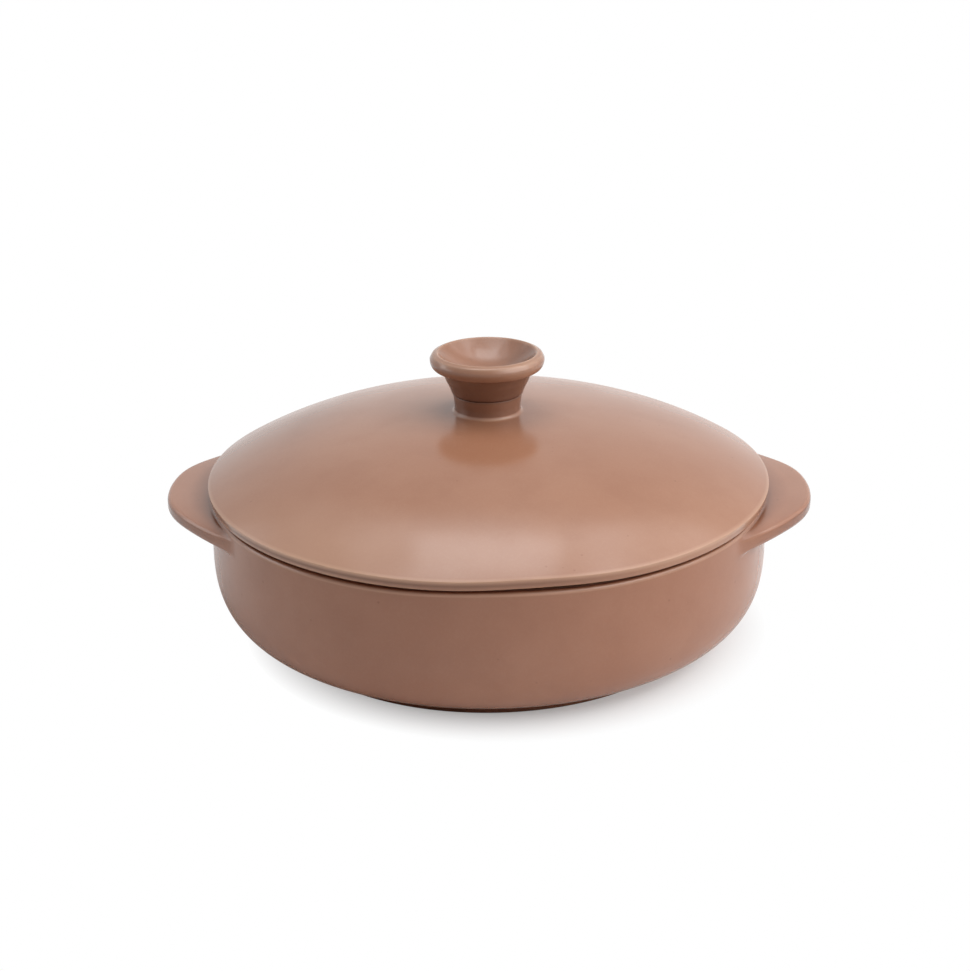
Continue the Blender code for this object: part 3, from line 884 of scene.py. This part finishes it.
studio = dict(
    floorColour=(0.94, 0.94, 0.94),
    floorSide=12.0,
    # the floor's share of plain white: under the dish, and the distances where it starts to rise and is 1
    seenWhite=(0.28, 0.099, 0.126),      # to the camera
    glossWhite=(0.0, 0.16, 0.36),        # in reflections
    shadowAside=8.0 * mm,     # the contact shadow's centre, to the right of the axis
    ambient=0.01,
    distance=1.40,
    aim=(0.0, 0.0, 0.06),
    # azimuth runs from the camera's side, 90 to its right, 180 behind the dish. The powers, in watts, come
    # from a fit of the light to the photo's brightness, rounded, and a few were then changed
    softboxes=(
        dict(name="topSoftbox", azimuth=180, elevation=84, width=1.36, height=1.00, power=5.2),
        dict(name="crownSoftbox", azimuth=180, elevation=80, width=0.70, height=0.45, power=3.1),
        dict(name="rightSoftbox", azimuth=70, elevation=30, width=1.20, height=0.90, power=8.2),
        dict(name="frontRightSoftbox", azimuth=45, elevation=30, width=1.20, height=0.90, power=3.4),
        dict(name="farRightSoftbox", azimuth=100, elevation=30, width=1.20, height=0.90, power=3.0),
        dict(name="highRightSoftbox", azimuth=60, elevation=56, width=1.20, height=0.90, power=4.9),
        dict(name="backRightSoftbox", azimuth=110, elevation=56, width=0.80, height=0.60, power=1.9),
        dict(name="lowLeftSoftbox", azimuth=270, elevation=12, width=0.80, height=0.60, power=2.8),
        dict(name="leftSoftbox", azimuth=250, elevation=30, width=0.80, height=0.60, power=1.7),
        dict(name="highLeftSoftbox", azimuth=300, elevation=56, width=0.80, height=0.60, power=1.0),
        dict(name="backLeftSoftbox", azimuth=240, elevation=56, width=0.80, height=0.60, power=0.5),
        dict(name="crownLeftSoftbox", azimuth=320, elevation=74, width=0.80, height=0.60, power=2.2),
    ),
)

view = dict(
    distance=0.900,
    elevation=21.15,
    azimuth=1.60,
    roll=0.60,
    aside=1.6 * mm,
    rise=7.61 * mm,
    level=77.0 * mm,       # height that the distance is measured to
    focalPixels=1897.0,
    widthPixels=970,
    sensor=36.0,
    nearClip=0.01,
    farClip=100.0,
)


def floorMaterial(name):
    # a matt floor that is part plain white to the camera and to reflections: each share rises evenly to 1
    # with the distance from the dish, so that the soft shadow stays and the rest is plain white
    material = bpy.data.materials.new(name)
    material.use_nodes = True
    nodes, links = material.node_tree.nodes, material.node_tree.links
    nodes.clear()
    matt = nodes.new("ShaderNodeBsdfDiffuse")
    matt.inputs["Color"].default_value = (*studio["floorColour"], 1.0)
    white = nodes.new("ShaderNodeEmission")
    centre = nodes.new("ShaderNodeMapping")
    centre.inputs["Location"].default_value = (-studio["shadowAside"], 0.0, 0.0)
    links.new(nodes.new("ShaderNodeTexCoord").outputs["Object"], centre.inputs["Vector"])
    away = nodes.new("ShaderNodeVectorMath")
    away.operation = "LENGTH"
    links.new(centre.outputs["Vector"], away.inputs[0])
    path = nodes.new("ShaderNodeLightPath")
    shares = []
    rays = (("Is Camera Ray", studio["seenWhite"]), ("Is Glossy Ray", studio["glossWhite"]))
    for ray, (near, start, end) in rays:
        ranger = nodes.new("ShaderNodeMapRange")
        ranger.inputs["From Min"].default_value = start
        ranger.inputs["From Max"].default_value = end
        ranger.inputs["To Min"].default_value = near
        links.new(away.outputs["Value"], ranger.inputs["Value"])
        share = nodes.new("ShaderNodeMath")
        share.operation = "MULTIPLY"
        links.new(ranger.outputs["Result"], share.inputs[0])
        links.new(path.outputs[ray], share.inputs[1])
        shares.append(share.outputs["Value"])
    either = nodes.new("ShaderNodeMath")
    either.operation = "MAXIMUM"
    links.new(shares[0], either.inputs[0])
    links.new(shares[1], either.inputs[1])
    mix = nodes.new("ShaderNodeMixShader")
    links.new(either.outputs["Value"], mix.inputs["Fac"])
    links.new(matt.outputs["BSDF"], mix.inputs[1])
    links.new(white.outputs["Emission"], mix.inputs[2])
    output = nodes.new("ShaderNodeOutputMaterial")
    links.new(mix.outputs["Shader"], output.inputs["Surface"])
    return material


def addFloor():
    # one square of twice the floor's side, level at height 0, which stays out of the part
    mesh = bpy.data.meshes.new("paleFloor")
    side = studio["floorSide"]
    corners = [(-side, -side, 0), (side, -side, 0), (side, side, 0), (-side, side, 0)]
    mesh.from_pydata(corners, [], [(0, 1, 2, 3)])
    mesh.materials.append(floorMaterial("paleFloor"))
    floor = bpy.data.objects.new("paleFloor", mesh)
    bpy.context.scene.collection.objects.link(floor)


def addSoftbox(name, azimuth, elevation, width, height, power):
    # a lamp at the studio's distance from the aim, facing it, its width level with the floor
    turn, tilt = math.radians(azimuth), math.radians(elevation)
    away = Vector((math.sin(turn) * math.cos(tilt), -math.cos(turn) * math.cos(tilt), math.sin(tilt)))
    lamp = bpy.data.lights.new(name, "AREA")
    lamp.shape = "RECTANGLE"
    lamp.size = width
    lamp.size_y = height
    lamp.energy = power
    box = bpy.data.objects.new(name, lamp)
    bpy.context.scene.collection.objects.link(box)
    box.location = Vector(studio["aim"]) + away * studio["distance"]
    box.rotation_euler = away.to_track_quat("Z", "Y").to_euler()


def addWorld():
    # a faint even light for the piece, and plain white where the camera or a reflection looks past the floor
    world = bpy.data.worlds.new("studio")
    bpy.context.scene.world = world
    world.use_nodes = True
    nodes, links = world.node_tree.nodes, world.node_tree.links
    nodes.clear()
    light = nodes.new("ShaderNodeBackground")
    light.inputs["Color"].default_value = (1.0, 1.0, 1.0, 1.0)
    light.inputs["Strength"].default_value = studio["ambient"]
    white = nodes.new("ShaderNodeBackground")
    white.inputs["Color"].default_value = (1.0, 1.0, 1.0, 1.0)
    path = nodes.new("ShaderNodeLightPath")
    seen = nodes.new("ShaderNodeMath")
    seen.operation = "MAXIMUM"
    links.new(path.outputs["Is Camera Ray"], seen.inputs[0])
    links.new(path.outputs["Is Glossy Ray"], seen.inputs[1])
    mix = nodes.new("ShaderNodeMixShader")
    links.new(seen.outputs["Value"], mix.inputs["Fac"])
    links.new(light.outputs["Background"], mix.inputs[1])
    links.new(white.outputs["Background"], mix.inputs[2])
    output = nodes.new("ShaderNodeOutputWorld")
    links.new(mix.outputs["Shader"], output.inputs["Surface"])


def addCamera():
    # place = level + back * distance - up * rise - right * aside, where right, up and back are the camera's
    # axes for its azimuth and elevation. Right and up are then turned about back by the roll
    lens = bpy.data.cameras.new("camera")
    lens.sensor_width = view["sensor"]
    lens.lens = view["sensor"] * view["focalPixels"] / view["widthPixels"]
    camera = bpy.data.objects.new("camera", lens)
    bpy.context.scene.collection.objects.link(camera)
    tilt = math.radians(view["elevation"])
    roll = math.radians(view["roll"])
    side = math.radians(view["azimuth"])
    right = np.array([math.cos(side), math.sin(side), 0.0])
    ahead = np.array([-math.sin(side), math.cos(side), 0.0])
    up = ahead * math.sin(tilt) + np.array([0.0, 0.0, math.cos(tilt)])
    back = ahead * -math.cos(tilt) + np.array([0.0, 0.0, math.sin(tilt)])
    place = back * view["distance"] - up * view["rise"] - right * view["aside"]
    camera.location = place + np.array([0.0, 0.0, view["level"]])
    rolledRight = right * math.cos(roll) - up * math.sin(roll)
    rolledUp = right * math.sin(roll) + up * math.cos(roll)
    camera.rotation_euler = Matrix((rolledRight, rolledUp, back)).transposed().to_euler()
    lens.clip_start = view["nearClip"]
    lens.clip_end = view["farClip"]
    bpy.context.scene.camera = camera


addFloor()
for softbox in studio["softboxes"]:
    addSoftbox(**softbox)
addWorld()
addCamera()
bpy.context.scene.view_settings.view_transform = "Standard"
print("floor, light and camera set")
